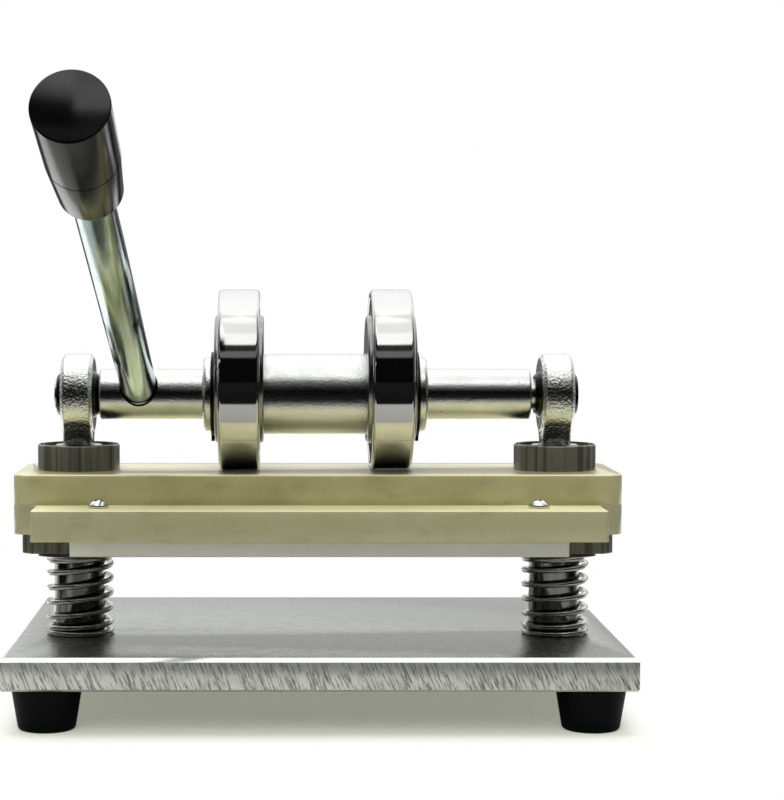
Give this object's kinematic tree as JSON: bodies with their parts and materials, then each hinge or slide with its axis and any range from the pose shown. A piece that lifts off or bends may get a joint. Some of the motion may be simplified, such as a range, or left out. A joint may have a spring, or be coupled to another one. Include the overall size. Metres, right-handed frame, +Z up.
{
  "type": "leather belt embossing machine",
  "caption": "Hand-cranked bench press: an arm turns a shaft with two eccentric rollers that push a guided, sprung platen down on to a steel table on rubber feet.",
  "frame": {"origin": "middle of the work table's top face, midway between the two guide posts", "axes": "+Z up; +X along the crank shaft to the right as seen from the side on which the arm rests; +Y away from that side, towards the longer side of the table"},
  "size_m": [0.236, 0.3313, 0.2292],
  "materials": {
    "table_steel": "ground and matt plated steel plate",
    "foot_rubber": "moulded black rubber",
    "zinc_screw": "bright zinc plated screw",
    "black_oxide": "black oxide steel",
    "gold_plate": "milled steel, pale gold zinc passivate",
    "pressing_steel": "ground plate, bright and slightly warm",
    "chrome_steel": "bright plated turned steel",
    "post_steel": "hard chromed and ground guide rod",
    "spring_steel": "drawn spring wire, bright",
    "rod_end_zinc": "forged steel, zinc plated, wrinkled flanks",
    "bearing_steel": "hardened bearing steel, ground",
    "guide_bearing_steel": "dark turned bearing shell",
    "seal_rubber": "black nitrile seal",
    "grip_plastic": "moulded black plastic, glossy"
  },
  "bodies": {
    "base": {"base_plate": "table_steel", "foot_screws": "zinc_screw", "post_screws": "black_oxide", "foot_front_left": "foot_rubber", "foot_front_right": "foot_rubber", "foot_rear_left": "foot_rubber", "foot_rear_right": "foot_rubber", "guide_post_left": "post_steel", "guide_post_right": "post_steel", "rod_end_left": "rod_end_zinc", "rod_end_right": "rod_end_zinc", "return_spring_left": "spring_steel", "return_spring_right": "spring_steel"},
    "platen": {"upper_plate": "gold_plate", "carrier_plate": "gold_plate", "pressing_plate": "pressing_steel", "flange_screws": "black_oxide", "clamp_screws": "black_oxide", "plate_screws": "zinc_screw", "guide_bearing_left": "guide_bearing_steel", "guide_bearing_right": "guide_bearing_steel", "bearing_retainer_left": "seal_rubber", "bearing_retainer_right": "seal_rubber", "spring_washer_left": "spring_steel", "spring_washer_right": "spring_steel"},
    "crank": {"crank_shaft": "chrome_steel", "drive_keys": "spring_steel", "handle_arm": "chrome_steel", "hand_grip": "grip_plastic", "eccentric_disc_left": "chrome_steel", "eccentric_disc_right": "chrome_steel", "roller_inner_ring_left": "bearing_steel", "roller_inner_ring_right": "bearing_steel", "roller_balls_left": "bearing_steel", "roller_balls_right": "bearing_steel", "circlip_left": "black_oxide", "circlip_right": "black_oxide", "rod_end_ball_left": "bearing_steel", "rod_end_ball_right": "bearing_steel"},
    "left_roller": {"roller_left": "bearing_steel", "roller_seals_left": "seal_rubber"},
    "right_roller": {"roller_right": "bearing_steel", "roller_seals_right": "seal_rubber"}
  },
  "joints": [
    {"name": "crank_swing", "type": "hinge", "parent": "base", "child": "crank", "pos_m": [0, 0, 0.0944], "axis": [1, 0, 0], "range_deg": [-157, 0]},
    {"name": "platen_slide", "type": "slide", "parent": "base", "child": "platen", "axis": [0, 0, 1], "range_m": [-0.012, 0], "deforming": ["return_spring_left", "return_spring_right"]},
    {"name": "left_roller_spin", "type": "hinge", "parent": "crank", "child": "left_roller", "pos_m": [-0.0304, 0, 0.1004], "axis": [1, 0, 0], "continuous": true},
    {"name": "right_roller_spin", "type": "hinge", "parent": "crank", "child": "right_roller", "pos_m": [0.0288, 0, 0.1004], "axis": [1, 0, 0], "continuous": true}
  ],
  "couplings": [
    {"joint": "platen_slide", "follows": "crank_swing", "m_per_rad": 0.0043476}
  ]
}
